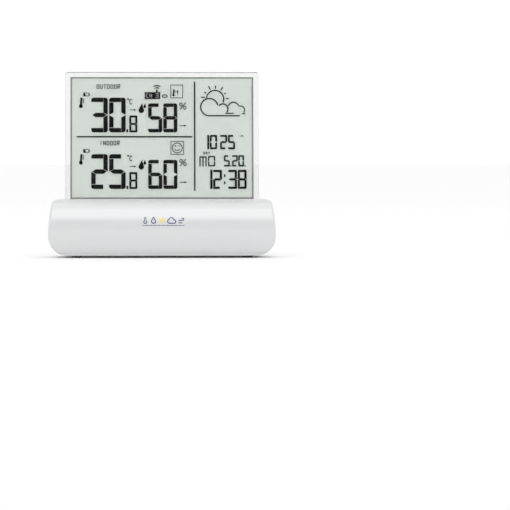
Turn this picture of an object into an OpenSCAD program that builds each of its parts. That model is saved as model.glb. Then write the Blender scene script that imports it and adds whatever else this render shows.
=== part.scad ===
// Table-top weather station: a leaning LCD panel in clear windows, standing in a rounded battery base.
// Millimetres. +Z is up and the display faces -Y. The origin is on the table, under the middle of the base.

/* [Base] */
// Width of the base at its widest
base_w = 155; // [152:1:158]
// Depth of the base at its widest
base_d = 46; // [46:0.5:50]
// Height of the moulded base, without its feet
body_h = 38.4; // [38.4:0.2:41]
// Height that the feet lift the base off the table
foot_h = 1.3; // [1:0.1:2]
// Radius of the round front and back shoulders
shoulder_r = 20; // [19:0.5:20]
// How far the front and back tuck in at the bottom
belly_tuck = 5; // [4:0.5:6]
// Radius of the rolled-up lower corners at both ends
end_corner_r = 13.5; // [11:0.5:14]
// Radius of the slow bulge of the two end faces
end_bulge_r = 98; // [90:1:120]
// Wall thickness of the mouldings
wall = 2; // [1.8:0.1:2.2]

/* [Display] */
// Width of the liquid crystal cell
lcd_w = 124.6; // [122:0.2:125]
// Height of the liquid crystal cell above the base
lcd_h = 83.6; // [81:0.2:88]
// Clear margin round the cell
margin = 3.7; // [3.2:0.1:4.5]
// Backward lean of the display, in degrees
lean = 6; // [4:0.5:8]
// Thickness of the clear front window
front_window_t = 1.5; // [1.2:0.1:1.5]
// Thickness of the clear rear window, which also guides the backlight
rear_window_t = 6; // [5.5:0.1:6]

/* [Controls] */
// Width of a rear button
button_w = 9; // [8:0.5:9.5]
// Height of a rear button
button_h = 4.8; // [4:0.2:5]
// Distance between rear buttons
button_pitch = 12.5; // [12:0.5:13]
// Travel of the keys and their switches
key_travel = 0.5; // [0.3:0.1:0.6]
// Travel of the slide switch
slide_travel = 2; // [1.5:0.5:2]

/* [Battery bay] */
// Inside length of the battery bay
bay_l = 57; // [57:0.5:58]
// Inside width of the battery bay
bay_w = 30.4; // [30:0.2:30.8]
// Radius of a cell
cell_r = 7.1; // [7:0.05:7.2]
// Thickness of the battery door
door_t = 1.6; // [1.4:0.1:1.7]

/* [Hidden] */
$fn = 96;
BUTTONS = ["set", "alarm", "channel", "up", "down", "memory"];

// Base heights
top_z = foot_h + body_h;            // crown of the base
belly_z = top_z - shoulder_r;       // height of the widest line of the front and back
corner_z = foot_h + end_corner_r;   // height of the widest line of the two ends
floor_z = foot_h + wall;            // top face of the lower housing's floor plate
seam = 0.1;                         // visible gap between the two housings
lip_h = 2;                          // how far the lower housing's lip reaches into the upper one
crest_r = 4;                        // radius of the upper corners of the front outline
half_w = base_w / 2;
lower_r = (pow(belly_z - foot_h, 2) + pow(belly_tuck, 2)) / (2 * belly_tuck);

// Layers of the display, as [front face, thickness] along the panel's own depth
gap = 0.05;
film_t = 0.2;
glass_t = 0.7;
ink_t = 0.1;
seal_w = 0.85;
seal_foot = 0.15;                   // where the line along the foot of the visible cell begins
ink_shift = [0.4, 0.6];             // places the drawn segments on the cell
ink_scale = 1.033;                  // their drawn size fits a base 150 wide
front_film_d = front_window_t + gap;
front_glass_d = front_film_d + film_t + gap;
ink_d = front_glass_d + glass_t + gap;
rear_glass_d = ink_d + ink_t + gap;
rear_film_d = rear_glass_d + glass_t + gap;
reflector_d = rear_film_d + film_t + gap;
recess_floor_d = reflector_d + film_t + 2 * gap;
rear_window_d = front_window_t + 2 * gap;
stack_t = rear_window_d + rear_window_t;
window_w = lcd_w + 2 * margin;
window_top = lcd_h + margin - 0.2;
window_foot = -12;                  // how deep the windows stand in the base
slot_clear = 0.2;

// Circuit board
board_t = 1.6;
board_bottom = 21;
board_top = board_bottom + board_t;
board_front = -14.5;
board_rear = 15.5;
board_half_l = 60.5;
board_post = [57, 8];
housing_post = [51, 12];
foot_at = [58, 11];

// Rear controls: the pocket, the keys and their switches
key_z = board_top + 1.8;
pocket_floor_y = 21;
pocket_half_l = 49;
pocket_r = 4.2;
pad_y = pocket_floor_y - 2.4;       // inner face of the thickened wall behind the pocket
key_face_y = pocket_floor_y + 1;
switch_depth = 4;
switch_face_y = board_rear;
plunger_tip_y = switch_face_y + 1.2;
plunger_r = 1.2;
reset_x = -42.5;
slide_x = 42.5;
function button_x(i) = (i - (len(BUTTONS) - 1) / 2) * button_pitch;

// Snooze and light key on the rear shoulder
snooze_half_l = 17;
snooze_y = [10.6, 16.6];
snooze_stem_y = 12.5;
snooze_switch_top = board_top + 5;

// Battery bay
bay_wall = 1.2;
bay_ceiling = 19.2;
cell_l = 49.2;
nub_l = 1.3;
cell_y = 7.45;
cell_z = 11.2;
contact_t = 0.4;
plate_x = [bay_l / 2 - contact_t - 0.05, bay_l / 2 - 0.05];
plate_z = [6, 17];
door_l = 59.4;
door_w = 31;
door_gap = 0.3;
ledge_z = foot_h + door_t + 0.05;
hinge_x = door_t / 2 - door_l / 2;
hinge_z = foot_h + door_t / 2;
latch_w = 10;
latch_l = 5.3;
latch_travel = 1;

// Hinge of the battery door
pin_r = 0.5;

// Screws, feet and pillars
foot_r = 3.4;
pillar_top = 9.8;
screw_seat = 3.8;
ear_x = 40;
ear_y = -8.5;
ear_z = 29;

// Cell glass below the crown, cradle and backlight trough, as heights in the panel's frame
glass_foot = -4;
ledge = 3.6;
cradle_foot = -13.3;
trough_foot = -15.6;
cradle_half_l = window_w / 2 + 2;
trough_half_l = 46;
ribbon_half_w = 12;
ribbon_knee = trough_foot - 0.4;
// Y and Z of a point on the ribbon, at height v on the panel and t behind the ribbon's face
function ribbon_point(v, t) = let (d = rear_glass_d - 0.25 + t)
    [d * cos(lean) + v * sin(lean), top_z + v * cos(lean) - d * sin(lean)];
ribbon_y = ribbon_point(ribbon_knee, 0)[0];

// Slide switch at rest
slide_rest_x = slide_x - slide_travel / 2;

// ---------- shared shapes ----------

// Puts children in the panel's own frame: X across, Y from its front face to its back, Z up the panel
module on_panel() {
    translate([0, 0, top_z]) rotate([-lean, 0, 0]) children();
}

// A flat plate in the panel's frame, with round upper corners
module panel_plate(w, foot, top, front, t, r = 1.5) {
    on_panel() translate([0, front + t, 0]) rotate([90, 0, 0]) linear_extrude(t) {
        translate([-w / 2, foot]) square([w, top - foot - r]);
        translate([-w / 2 + r, foot]) square([w - 2 * r, top - foot]);
        for (s = [-1, 1]) translate([s * (w / 2 - r), top - r]) circle(r);
    }
}

// A box in the panel's frame, given by its ranges across, in depth and in height
module panel_box(x, d, v) {
    on_panel() translate([x[0], d[0], v[0]]) cube([x[1] - x[0], d[1] - d[0], v[1] - v[0]]);
}

module box(x, y, z) {
    translate([x[0], y[0], z[0]]) cube([x[1] - x[0], y[1] - y[0], z[1] - z[0]]);
}

// Points of an arc about c, from angle a0 to a1 in steps equal parts
function arc(c, r, a0, a1, steps) =
    [for (i = [0:steps]) let (a = a0 + (a1 - a0) * i / steps) c + r * [cos(a), sin(a)]];

// A right-hand half outline, foot first, closed by its mirror image
function both_sides(half) = concat(half, [for (i = [len(half) - 1:-1:0]) [-half[i][0], half[i][1]]]);

// Side profile of the base, in Y and Z: round shoulders over a belly that tucks in
module side_profile(inset = 0) {
    low = -asin((belly_z - foot_h - inset) / (lower_r - inset));
    belly = arc([base_d / 2 - lower_r, belly_z], lower_r - inset, low, 0, 6);
    shoulder = arc([base_d / 2 - shoulder_r, belly_z], shoulder_r - inset, 5, 90, 17);
    polygon(both_sides(concat(belly, shoulder)));
}

// Front outline of the base, in X and Z: bulged ends, rolled-up lower corners, small upper corners
module front_outline(inset = 0) {
    bulge_c = [half_w - end_bulge_r, corner_z];
    turn = asin((top_z - crest_r - corner_z) / (end_bulge_r - crest_r));
    crest_c = bulge_c + (end_bulge_r - crest_r) * [cos(turn), sin(turn)];
    corner = arc([half_w - end_corner_r, corner_z], end_corner_r - inset, -90, 0, 14);
    bulge = arc(bulge_c, end_bulge_r - inset, turn / 5, turn, 4);
    crest = arc(crest_c, crest_r - inset, turn + (90 - turn) / 8, 90, 7);
    polygon(both_sides(concat(corner, bulge, crest)));
}

// The base's outer shape, or that shape drawn in by inset
module base_solid(inset = 0) {
    intersection() {
        rotate([90, 0, 90]) linear_extrude(base_w + 2, center = true) side_profile(inset);
        rotate([90, 0, 0]) linear_extrude(base_d + 2, center = true) front_outline(inset);
    }
}

// A bar with half-round ends, lying along X and reaching from y0 to y1
module pill_y(x, z, w, h, y0, y1) {
    for (s = [-1, 1])
        translate([x + s * (w - h) / 2, y0, z]) rotate([-90, 0, 0]) cylinder(r = h / 2, h = y1 - y0);
    box([x - (w - h) / 2, x + (w - h) / 2], [y0, y1], [z - h / 2, z + h / 2]);
}

module rod_y(x, z, r, y0, y1) {
    translate([x, y0, z]) rotate([-90, 0, 0]) cylinder(r = r, h = y1 - y0);
}

module rod_z(x, y, r, z0, z1) {
    translate([x, y, z0]) cylinder(r = r, h = z1 - z0);
}

module at_four(p) {
    for (sx = [-1, 1], sy = [-1, 1]) translate([sx * p[0], sy * p[1], 0]) children();
}

// A round wire wound as a helix along +Z, from radius r0 to r1
module wound_wire(r0, r1, length, turns, wire_r, steps = 14, sides = 6) {
    n = ceil(turns * steps);
    function centre(i) = let (t = i / n, a = 360 * turns * t, r = r0 + (r1 - r0) * t)
        [r * cos(a), r * sin(a), wire_r + (length - 2 * wire_r) * t];
    function ring(i) = let (a = 360 * turns * i / n, c = centre(i))
        [for (k = [0:sides - 1]) let (b = 360 * k / sides)
            c + wire_r * [cos(b) * cos(a), cos(b) * sin(a), sin(b)]];
    points = [for (i = [0:n]) each ring(i)];
    skin = [for (i = [0:n - 1], k = [0:sides - 1]) let (a = i * sides + k, b = i * sides + (k + 1) % sides)
        [a, b, b + sides, a + sides]];
    polyhedron(points, concat([[for (k = [0:sides - 1]) sides - 1 - k]],
        [for (f = skin) [f[0], f[1], f[2]]], [for (f = skin) [f[0], f[2], f[3]]],
        [[for (k = [0:sides - 1]) n * sides + k]]));
}

// A cross-head screw standing head down, with its head's lower face at the origin
module screw(head_r, head_h, shaft_r, length) {
    difference() {
        cylinder(r = head_r, h = head_h);
        for (a = [0, 90]) rotate([0, 0, a]) translate([-head_r * 0.6, -0.3, -1])
            cube([head_r * 1.2, 0.6, 1 + head_h / 2]);
    }
    translate([0, 0, head_h]) cylinder(r = shaft_r, h = length - head_h - shaft_r);
    translate([0, 0, length - shaft_r]) cylinder(r1 = shaft_r, r2 = shaft_r * 0.2, h = shaft_r);
}

// ---------- mouldings ----------

// Marks the four screw pillars' clearance from the edge of the board inwards
module pillar_notch() {
    for (sx = [-1, 1], sy = [-1, 1]) {
        rod_z(sx * housing_post[0], sy * housing_post[1], 3.3, board_bottom - 1, board_top + 1);
        box([sx * housing_post[0] - 3.3, sx * housing_post[0] + 3.3],
            sy > 0 ? [housing_post[1], base_d] : [-base_d, -housing_post[1]],
            [board_bottom - 1, board_top + 1]);
    }
}

// The opening over the rear shoulder that the snooze key sinks into
module snooze_prism(grow, z0, z1) {
    r = 1.5;
    w = snooze_half_l + grow;
    y0 = snooze_y[0] - grow;
    y1 = snooze_y[1] + grow;
    translate([0, 0, z0]) linear_extrude(z1 - z0) {
        translate([-w, y0 + r]) square([2 * w, y1 - y0 - 2 * r]);
        translate([r - w, y0]) square([2 * (w - r), y1 - y0]);
        for (x = [r - w, w - r], y = [y0 + r, y1 - r]) translate([x, y]) circle(r);
    }
}

module upper_housing() {
    color("#f4f5f6") difference() {
        base_solid();
        difference() {
            base_solid(wall);
            box([-pocket_half_l - 1, pocket_half_l + 1], [pad_y, base_d], [key_z - 6, key_z + 6]);
            at_four(housing_post) cylinder(r = 2.7, h = top_z);
            for (s = [-1, 1]) rod_z(s * ear_x, ear_y, 2.7, ear_z + 2.2, top_z);
        }
        box([-base_w, base_w], [-base_d, base_d], [0, floor_z + seam]);
        at_four(housing_post) translate([0, 0, -0.1]) cylinder(r = 5, h = pillar_top + 0.3);
        at_four(housing_post) cylinder(r = 1.12, h = pillar_top + 9);
        for (s = [-1, 1]) rod_z(s * ear_x, ear_y, 1.12, ear_z, ear_z + 6.5);
        panel_box([-window_w / 2 - slot_clear, window_w / 2 + slot_clear],
            [-slot_clear, stack_t + slot_clear], [window_foot, 12]);
        pill_y(0, key_z, 2 * pocket_half_l, 2 * pocket_r, pocket_floor_y, base_d);
        for (i = [0:len(BUTTONS) - 1])
            pill_y(button_x(i), key_z, button_w + 0.6, button_h + 0.6, pad_y - 1, base_d);
        box([slide_rest_x - 1.8, slide_rest_x + slide_travel + 1.8], [pad_y - 1, base_d],
            [key_z - 1.3, key_z + 1.3]);
        rod_y(reset_x, key_z, 0.9, pad_y - 1, base_d);
        snooze_prism(0.3, belly_z + 5, top_z + 1);
        for (i = [0:4]) box([52 + 2.6 * i, 53.3 + 2.6 * i], [base_d / 4, base_d], [9, 17]);
    }
}

module lower_housing() {
    color("#eceeef") difference() {
        union() {
            intersection() {
                base_solid();
                box([-base_w, base_w], [-base_d, base_d], [0, floor_z]);
            }
            for (s = [-1, 1]) {
                box([-56, 56], s > 0 ? [15.6, 16.65] : [-16.65, -15.6], [floor_z - 0.5, floor_z + lip_h]);
                box(s > 0 ? [half_w - 13, half_w - 11.8] : [11.8 - half_w, 13 - half_w], [-12, 12],
                    [floor_z - 0.5, floor_z + lip_h]);
            }
            box([-bay_l / 2 - bay_wall, bay_l / 2 + bay_wall], [-bay_w / 2 - bay_wall, bay_w / 2 + bay_wall],
                [floor_z - 0.5, bay_ceiling + bay_wall]);
            at_four(housing_post) rod_z(0, 0, 3.2, floor_z - 0.5, pillar_top);
            at_four(board_post) rod_z(0, 0, 2.5, floor_z - 0.5, board_bottom);
        }
        box([-bay_l / 2, bay_l / 2], [-bay_w / 2, bay_w / 2], [0, bay_ceiling]);
        box([-door_l / 2 - door_gap, door_l / 2 + door_gap], [-door_w / 2 - door_gap, door_w / 2 + door_gap],
            [0, ledge_z]);
        for (s = [-1, 1]) rod_y(hinge_x, hinge_z, pin_r + 0.06, s > 0 ? door_w / 2 : -door_w / 2 - 1.6,
            s > 0 ? door_w / 2 + 1.6 : -door_w / 2);
        at_four(housing_post) translate([0, 0, -1]) cylinder(r = 1.3, h = pillar_top + 2);
        at_four(housing_post) cylinder(r = 2.5, h = screw_seat);
        at_four(board_post) translate([0, 0, board_bottom - 9]) cylinder(r = 0.92, h = 10);
        at_four(foot_at) cylinder(r = foot_r + 0.1, h = foot_h + 0.5);
        for (s = [-1, 1]) box([bay_l / 2 - contact_t - 0.2, bay_l / 2 + 0.1],
            [s * cell_y - 1.7, s * cell_y + 1.7], [bay_ceiling - 1, board_bottom]);
    }
}

module housing_screws() {
    color("#8b8f94") at_four(housing_post) translate([0, 0, screw_seat - 1.4]) screw(2.2, 1.4, 1.1, 14);
}

module rubber_feet() {
    color("#3a3b3d") at_four(foot_at) {
        cylinder(r1 = foot_r - 0.4, r2 = foot_r, h = 0.4);
        translate([0, 0, 0.4]) cylinder(r = foot_r, h = foot_h + 0.1);
    }
}

// ---------- display ----------

module front_window() {
    color("#eef6f4", 0.35) panel_plate(window_w, window_foot, window_top, 0, front_window_t);
}

// The rear window is thick: the cell lies in a recess in its front, and light enters along its foot
module rear_window() {
    color("#eef6f4", 0.35) difference() {
        panel_plate(window_w, window_foot, window_top, rear_window_d, rear_window_t);
        panel_box([-lcd_w / 2 - gap, lcd_w / 2 + gap], [0, recess_floor_d], [window_foot - 1, lcd_h + gap]);
    }
}

module cell_layer(edge, foot, front, t) {
    panel_box([edge - lcd_w / 2, lcd_w / 2 - edge], [front, front + t], [foot, lcd_h - edge]);
}

module lcd_front_polariser() {
    color("#9aa39c", 0.4) cell_layer(0.6, glass_foot + 0.6, front_film_d, film_t);
}

module lcd_front_glass() {
    color("#dfe9e4", 0.3) cell_layer(0, glass_foot, front_glass_d, glass_t);
}

module lcd_rear_glass() {
    color("#dfe9e4", 0.3) cell_layer(0, glass_foot - ledge, rear_glass_d, glass_t);
}

module lcd_rear_polariser() {
    color("#9aa39c", 0.4) cell_layer(0.6, glass_foot - ledge + 0.6, rear_film_d, film_t);
}

module lcd_reflector() {
    color("#d0d5d0") cell_layer(0.2, glass_foot - ledge + 0.2, reflector_d, film_t);
}

module lcd_edge_seal() {
    color("#808a86") difference() {
        cell_layer(0, glass_foot, ink_d, ink_t);
        panel_box([seal_w - lcd_w / 2, lcd_w / 2 - seal_w], [ink_d - 1, ink_d + 1],
            [seal_foot + seal_w, lcd_h - seal_w]);
        panel_box([seal_w - lcd_w / 2, lcd_w / 2 - seal_w], [ink_d - 1, ink_d + 1],
            [glass_foot + seal_w, seal_foot]);
    }
}

// ---------- what the display shows ----------

// A straight stroke of width t between two points
module stroke(p, q, t) {
    d = [q[0] - p[0], q[1] - p[1]];
    n = [-d[1], d[0]] * t / 2 / norm(d);
    polygon([p + n, p - n, q - n, q + n]);
}

// Segments lit for each digit: top, upper right, lower right, foot, lower left, upper left, middle
SEVEN = ["1111110", "0110000", "1101101", "1111001", "0110011", "1011011", "1011111", "1110000", "1111111",
    "1111011"];

// Moves points by x and y, and flips them about height m where up is false
function placed(points, x, y, m, up) = [for (p = points) [x + p[0], y + (up ? p[1] : 2 * m - p[1])]];

// One seven-segment digit with its lower left corner at x, y; right-hand segments hold the right corners
module digit(n, x, y, w, h, t) {
    g = t * 0.07;
    c = t * 0.5;
    m = h / 2;
    cap = [[0, h - t], [0, h - c], [c * 0.3, h - c * 0.3], [c, h], [w - t - g, h], [w - t - g, h - t]];
    right = [[w - t, h], [w - c, h], [w - c * 0.3, h - c * 0.3], [w, h - c], [w, m + g],
        [w - t, m + t * 0.6]];
    left = [[0, m + g], [0, h - t - 2 * g], [t, h - t - 2 * g], [t, m + t * 0.6]];
    middle = [[t * 0.25, m], [t, m + t / 2], [w - t, m + t / 2], [w - t * 0.25, m], [w - t, m - t / 2],
        [t, m - t / 2]];
    shapes = [[cap, true], [right, true], [right, false], [cap, false], [left, false], [left, true],
        [middle, true]];
    for (i = [0:6]) if (SEVEN[n][i] == "1") polygon(placed(shapes[i][0], x, y, m, shapes[i][1]));
}

// A "1" is only its right-hand segments
module one(x, y, h, t) {
    half = [[0, h / 2 + t * 0.1], [0, h], [t * 0.7, h], [t, h - t * 0.3], [t, h / 2 + t * 0.1]];
    for (up = [true, false]) polygon(placed(half, x, y, h / 2, up));
}

// A band along part of an ellipse, from angle a0 to a1
module arc_band(x, y, rx, ry, t, a0, a1, steps = 16) {
    outer = [for (i = [0:steps]) let (a = a0 + (a1 - a0) * i / steps) [x + rx * cos(a), y + ry * sin(a)]];
    inner = [for (i = [steps:-1:0]) let (a = a0 + (a1 - a0) * i / steps)
        [x + (rx - t) * cos(a), y + (ry - t) * sin(a)]];
    polygon(concat(outer, inner));
}

// Strokes of the capitals used, on a grid 2 wide and 4 high
function glyph(c) =
    c == "O" ? [[[0.6, 0], [1.4, 0], [2, 0.7], [2, 3.3], [1.4, 4], [0.6, 4], [0, 3.3], [0, 0.7], [0.6, 0]]] :
    c == "U" ? [[[0, 4], [0, 0.7], [0.6, 0], [1.4, 0], [2, 0.7], [2, 4]]] :
    c == "T" ? [[[0, 4], [2, 4]], [[1, 4], [1, 0]]] :
    c == "D" ? [[[0, 0], [0, 4], [1.3, 4], [2, 3], [2, 1], [1.3, 0], [0, 0]]] :
    c == "R" ? [[[0, 0], [0, 4], [2, 4], [2, 2], [0, 2]], [[0.8, 2], [2, 0]]] :
    c == "I" ? [[[1, 0], [1, 4]]] :
    c == "N" ? [[[0, 0], [0, 4], [2, 0], [2, 4]]] :
    c == "C" ? [[[2, 0.5], [1.4, 0], [0.6, 0], [0, 0.7], [0, 3.3], [0.6, 4], [1.4, 4], [2, 3.5]]] :
    c == "H" ? [[[0, 0], [0, 4]], [[2, 0], [2, 4]], [[0, 2], [2, 2]]] :
    c == "M" ? [[[0, 0], [0, 4], [1, 2], [2, 4], [2, 0]]] :
    c == "A" ? [[[0, 0], [0, 2.6], [1, 4], [2, 2.6], [2, 0]], [[0, 1.6], [2, 1.6]]] :
    c == "Y" ? [[[0, 4], [1, 2], [2, 4]], [[1, 2], [1, 0]]] : [];

// A closed band round an ellipse
function oval_points(rx, ry) = [for (i = [0:23]) [rx * cos(15 * i), ry * sin(15 * i)]];
module oval_band(x, y, rx, ry, t) {
    translate([x, y]) difference() {
        polygon(oval_points(rx, ry));
        polygon(oval_points(rx - t, ry - t));
    }
}

// A word in drawn capitals of height h, with strokes of width t
module word(letters, x, y, h, t, pitch = 0.74) {
    sx = (h * 0.56 - t) / 2;
    sy = (h - t) / 4;
    for (i = [0:len(letters) - 1], path = glyph(letters[i]), j = [0:len(path) - 2])
        stroke([x + t / 2 + i * h * pitch + sx * path[j][0], y + t / 2 + sy * path[j][1]],
            [x + t / 2 + i * h * pitch + sx * path[j + 1][0], y + t / 2 + sy * path[j + 1][1]], t);
}

module ring(x, y, r, t) {
    translate([x, y]) difference() {
        circle(r);
        circle(r - t);
    }
}

module frame_2d(x, y, w, h, t) {
    difference() {
        translate([x, y]) square([w, h]);
        translate([x + t, y + t]) square([w - 2 * t, h - 2 * t]);
    }
}

// A thermometer with its bulb at the foot and heat marks beside its stem
module thermometer_icon(x, y, w, h) {
    translate([x + w * 0.38, y + w * 0.38]) circle(w * 0.38);
    stroke([x + w * 0.38, y + w * 0.38], [x + w * 0.5, y + h], w * 0.4);
    for (k = [0.5, 0.66, 0.82]) translate([x + w * 0.78, y + h * k]) square([w * 0.26, h * 0.08]);
}

module drop_icon(x, y, r) {
    translate([x, y]) polygon(concat([[r * 0.25, r * 2.7]], [for (a = [160:20:380]) r * [cos(a), sin(a)]]));
}

// A cell outline, half full
module battery_icon(x, y, w, h) {
    frame_2d(x, y, w * 0.88, h, 0.36);
    translate([x + w * 0.84, y + h * 0.28]) square([w * 0.16, h * 0.44]);
    polygon([[x + 0.2, y + 0.2], [x + w * 0.42, y + 0.2], [x + w * 0.2, y + h - 0.2],
        [x + 0.2, y + h - 0.2]]);
}

module arrow_icon(x, y, w) {
    stroke([x, y], [x + w * 0.75, y], 0.36);
    polygon([[x + w * 0.68, y + 0.65], [x + w, y], [x + w * 0.68, y - 0.65]]);
}

module percent_icon(x, y, w, h) {
    stroke([x + 0.5, y], [x + w - 0.5, y + h], 0.5);
    oval_band(x + w * 0.22, y + h * 0.74, w * 0.22, h * 0.26, 0.42);
    oval_band(x + w * 0.78, y + h * 0.26, w * 0.22, h * 0.26, 0.42);
}

module degree_icon(x, y, h) {
    ring(x + 0.6, y + h - 0.6, 0.6, 0.32);
    word("C", x + 1.5, y, h * 0.86, 0.42);
}

// One half of the left side: a name, a temperature with one decimal, and a humidity
module reading(name, name_x, y, tens, units, tenth, wet_tens, wet_units) {
    wet_h = 19.2;
    word(name, name_x, y + 28.9, 3.1, 0.38);
    battery_icon(-52.4, y + 24, 4.3, 2.4);
    thermometer_icon(-55.2, y + 16.2, 3.1, 6.8);
    digit(tens, -47.1, y, 10.8, 23, 2.8);
    digit(units, -35.3, y, 10.8, 23, 2.8);
    translate([-23.9, y]) square([1.1, 2]);
    digit(tenth, -22, y, 5.2, 11.1, 1.25);
    degree_icon(-23.4, y + 18.6, 4);
    arrow_icon(-21.6, y + 14.9, 4.1);
    drop_icon(-14.1, y + 14.6, 1.75);
    drop_icon(-11.8, y + 17, 0.85);
    digit(wet_tens, -9.5, y, 9.2, wet_h, 2.25);
    digit(wet_units, 0.5, y, 9.2, wet_h, 2.25);
    percent_icon(11.1, y + wet_h - 4, 4.7, 4.6);
    arrow_icon(11.3, y + 4.4, 4.6);
}

module display_ink() {
    // dividing rules
    translate([-56.7, 40.3]) square([76.2, 0.85]);
    translate([20.8, 4.8]) square([0.85, 72.7]);
    reading("OUTDOOR", -43.6, 43.7, 3, 0, 8, 5, 8);
    reading("INDOOR", -41.6, 6.1, 2, 5, 8, 6, 0);
    // received signal and its channel
    arc_band(-3.75, 71, 4.15, 4.15, 0.6, 54, 126, 12);
    arc_band(-3.75, 71.2, 2.5, 2.5, 0.6, 48, 132, 10);
    stroke([-3.75, 72.1], [-3.75, 70], 0.9);
    difference() {
        translate([-11.8, 65.9]) square([10.2, 4.5]);
        word("CH", -11, 66.7, 3, 0.46, 0.8);
        digit(3, -4.6, 66.7, 1.9, 3, 0.5);
    }
    oval_band(1.5, 67.8, 1.85, 1.15, 0.5);
    // warning box: a thermometer and a rising arrow
    frame_2d(5.3, 66.5, 8.2, 8.9, 0.34);
    thermometer_icon(6.5, 67.7, 1.9, 4.6);
    stroke([9.9, 68.9], [9.9, 70.6], 0.4);
    polygon([[9.1, 70.5], [10.7, 70.5], [9.9, 71.9]]);
    // comfort face
    frame_2d(5.3, 28.8, 8.8, 9, 0.34);
    ring(9.7, 33.3, 3.5, 0.42);
    for (s = [-1, 1]) arc_band(9.7 + 1.3 * s, 34.2, 0.75, 0.65, 0.34, 20, 160, 8);
    arc_band(9.7, 33, 1.9, 1.6, 0.38, 200, 340, 10);
    // forecast: sun behind two clouds
    sun = [34.8, 65.9];
    arc_band(sun[0], sun[1], 6.1, 6.1, 0.72, -23, 172, 26);
    for (ray = [[2, 2.1], [29, 1.3], [57, 2.5], [88, 1.9], [117, 2.7], [147, 1.5], [172, 2.3]])
        translate(sun) rotate(ray[0]) translate([7, -0.32]) square([ray[1], 0.64]);
    arc_band(31, 60.5, 6.1, 6.1, 0.72, 13, 258, 32);
    arc_band(40, 59.3, 3.7, 3.7, 0.72, -41, 139, 20);
    translate([29.95, 54.4]) square([21.3, 0.72]);
    translate([41.6, 56.1]) square([5.4, 0.6]);
    arc_band(47, 60.2, 3.9, 3.9, 0.66, 20, 160, 16);
    arc_band(51.8, 58.6, 2.9, 2.9, 0.6, -42, 118, 16);
    translate([52.7, 55.8]) square([2.2, 0.55]);
    // pressure, weekday, date and time
    one(29.6, 32.5, 9.4, 1.15);
    digit(0, 31.3, 32.5, 4.7, 9.4, 1.15);
    digit(2, 38.1, 32.5, 4.6, 9.4, 1.15);
    digit(5, 43.3, 32.5, 4.6, 9.4, 1.15);
    arc_band(52.6, 40.4, 1.3, 1.3, 0.42, 30, 150, 8);
    word("DAY", 27, 28.9, 1.9, 0.3, 0.82);
    for (x = [24.7, 26.7, 28.7]) stroke([x, 21.1], [x, 27.5], 0.72);
    stroke([24.7, 27.3], [28.7, 27.3], 0.72);
    digit(0, 30.1, 21.1, 4.6, 6.8, 0.76);
    digit(5, 40.6, 21, 3.8, 7.4, 0.95);
    digit(2, 46, 21, 3.7, 7.4, 0.95);
    digit(0, 50.1, 21, 3.7, 7.4, 0.95);
    for (x = [44.7, 54.2]) translate([x, 21]) square(0.75);
    one(31.5, 6.1, 12.6, 1.4);
    digit(2, 33.4, 6.1, 5.8, 12.6, 1.4);
    for (y = [9.2, 14]) translate([40.6, y]) square([0.9, 1.8]);
    digit(3, 43.4, 6.1, 5.7, 12.6, 1.4);
    digit(8, 49.7, 6.1, 5.8, 12.6, 1.4);
}

module lcd_segments() {
    color("#1c2420") on_panel() translate([ink_shift[0], ink_d + ink_t, ink_shift[1]]) rotate([90, 0, 0])
        linear_extrude(ink_t) scale([ink_scale, ink_scale]) display_ink();
}

// ---------- inside the base ----------

// Channel that grips the foot of the windows; its ears screw up into the crown
module panel_cradle() {
    color("#d9dcde") difference() {
        union() {
            panel_box([-cradle_half_l, cradle_half_l], [-1.5, stack_t + 1.2], [cradle_foot, -3]);
            panel_box([-trough_half_l - 1.5, trough_half_l + 1.5], [1.2, stack_t + 1.2],
                [trough_foot, cradle_foot + 1]);
            for (s = [-1, 1]) box([s * ear_x - 4, s * ear_x + 4], [ear_y - 3.5, 0], [ear_z, ear_z + 2]);
        }
        panel_box([-window_w / 2 - 0.1, window_w / 2 + 0.1], [-0.1, stack_t + 0.1], [window_foot, 1]);
        panel_box([-trough_half_l, trough_half_l], [3.5, stack_t], [trough_foot + 0.9, window_foot + 1]);
        panel_box([-ribbon_half_w - 0.6, ribbon_half_w + 0.6], [2.1, 3.1],
            [trough_foot - 1, window_foot + 1]);
        for (s = [-1, 1]) rod_z(s * ear_x, ear_y, 1.3, ear_z - 1, ear_z + 3);
    }
}

module cradle_screws() {
    color("#8b8f94") for (s = [-1, 1]) translate([s * ear_x, ear_y, ear_z - 1.4]) screw(2.2, 1.4, 1.08, 7.4);
}

module backlight_strip() {
    color("#2f6b4a") panel_box([0.4 - trough_half_l, trough_half_l - 0.4], [3.7, stack_t - 0.2],
        [trough_foot + 0.95, trough_foot + 1.75]);
}

module backlight_leds() {
    color("#f1efd8") for (i = [-3:3]) panel_box([i * 14 - 1.5, i * 14 + 1.5], [4.4, 6.6],
        [trough_foot + 1.75, window_foot - 0.25]);
}

// Bonded to the rear glass's ledge, it runs down through the cradle and bends upright into its connector
module flex_ribbon() {
    color("#b06a2c") rotate([90, 0, 90]) linear_extrude(2 * ribbon_half_w, center = true)
        polygon([ribbon_point(glass_foot - 0.5, 0), ribbon_point(ribbon_knee, 0), [ribbon_y, board_top + 0.4],
            [ribbon_y + 0.2, board_top + 0.4], ribbon_point(ribbon_knee, 0.2),
            ribbon_point(glass_foot - 0.5, 0.2)]);
}

module ribbon_connector() {
    color("#e8e3d2") difference() {
        box([-ribbon_half_w - 2, ribbon_half_w + 2], [ribbon_y - 1.6, ribbon_y + 1.6],
            [board_top, board_top + 1]);
        box([-ribbon_half_w - 0.2, ribbon_half_w + 0.2], [ribbon_y - 0.15, ribbon_y + 0.35],
            [board_top + 0.3, board_top + 2]);
    }
}

module main_board() {
    color("#2f6b4a") difference() {
        box([-board_half_l, board_half_l], [board_front, board_rear], [board_bottom, board_top]);
        pillar_notch();
        at_four(board_post) translate([0, 0, board_bottom - 1]) cylinder(r = 1.2, h = board_t + 2);
    }
}

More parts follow.
